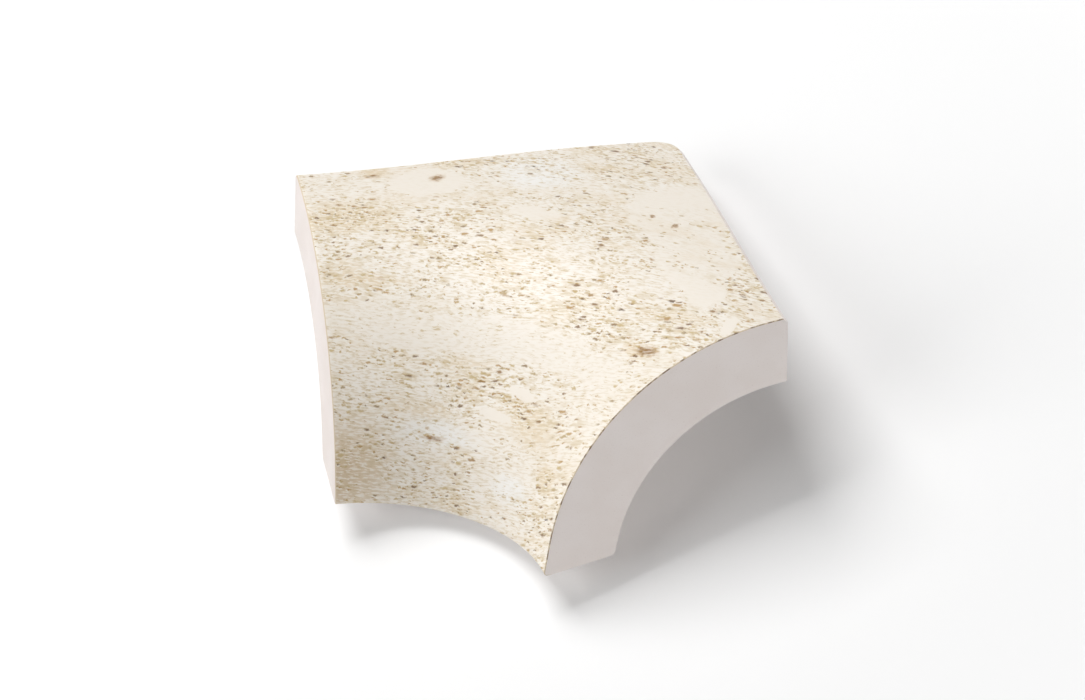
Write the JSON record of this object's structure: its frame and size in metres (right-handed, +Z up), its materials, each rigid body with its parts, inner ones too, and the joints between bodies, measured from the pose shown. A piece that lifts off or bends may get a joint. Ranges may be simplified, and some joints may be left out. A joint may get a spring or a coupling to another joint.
{
  "type": "inside corner tile",
  "caption": "Inside corner tile with a rounded nosing that runs round a hollow quarter turn, a square back corner, a sloping foot and a stone-look face on a pale fired body.",
  "frame": {"origin": "bottom centre of the tile's bounding box, on the floor it rests on", "axes": "+X runs from one leg to the other, +Y points to the square back corner, +Z is up; the tile leans back on its back corner and the inner edge of its foot, as it rests unheld"},
  "size_m": [0.0846, 0.075, 0.029],
  "materials": {
    "body": "satin"
  },
  "bodies": {
    "root": {"inside_corner_tile": "body"}
  },
  "joints": []
}
